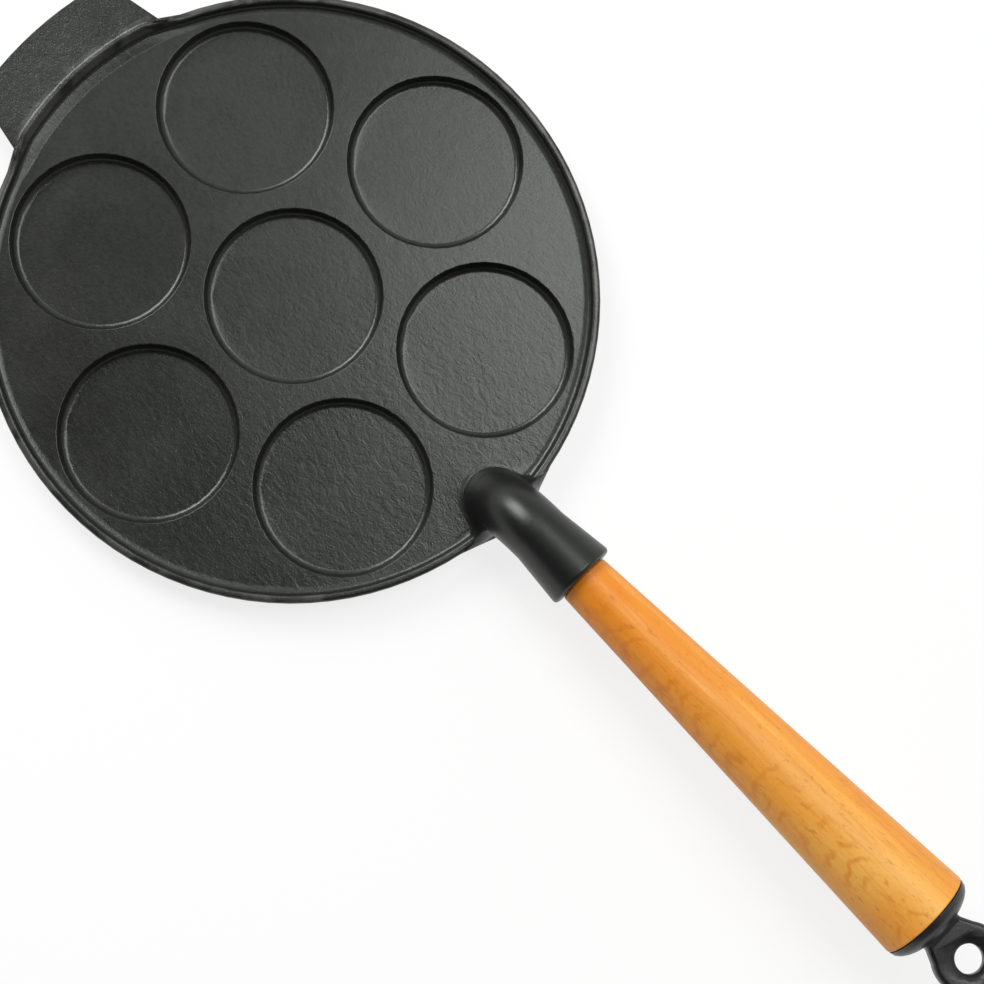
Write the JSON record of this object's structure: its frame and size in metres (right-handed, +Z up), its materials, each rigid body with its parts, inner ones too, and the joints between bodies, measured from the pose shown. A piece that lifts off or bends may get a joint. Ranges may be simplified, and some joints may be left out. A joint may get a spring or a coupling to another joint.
{
  "type": "plett pan",
  "caption": "Flat round cast-iron pancake pan with shallow round wells, a low rim, an assist tab, and an elbow socket holding a tapered wooden handle with a hanging eye.",
  "frame": {"origin": "centre of the pan's flat underside", "axes": "+X towards the handle, +Z up out of the wells, +Y completes a right-handed set"},
  "size_m": [0.4877, 0.23, 0.0644],
  "materials": {
    "cast_iron": "fine sand-cast grain, seasoned, semi-matt black",
    "beech": "turned and oiled, satin, grain along the handle",
    "steel": "plain drawn rod, hidden inside the handle",
    "cast_iron_eye": "smoother casting, painted or seasoned black"
  },
  "bodies": {
    "root": {"pan_casting": "cast_iron", "wooden_handle": "beech", "handle_rod": "steel", "hanging_eye": "cast_iron_eye"}
  },
  "joints": []
}
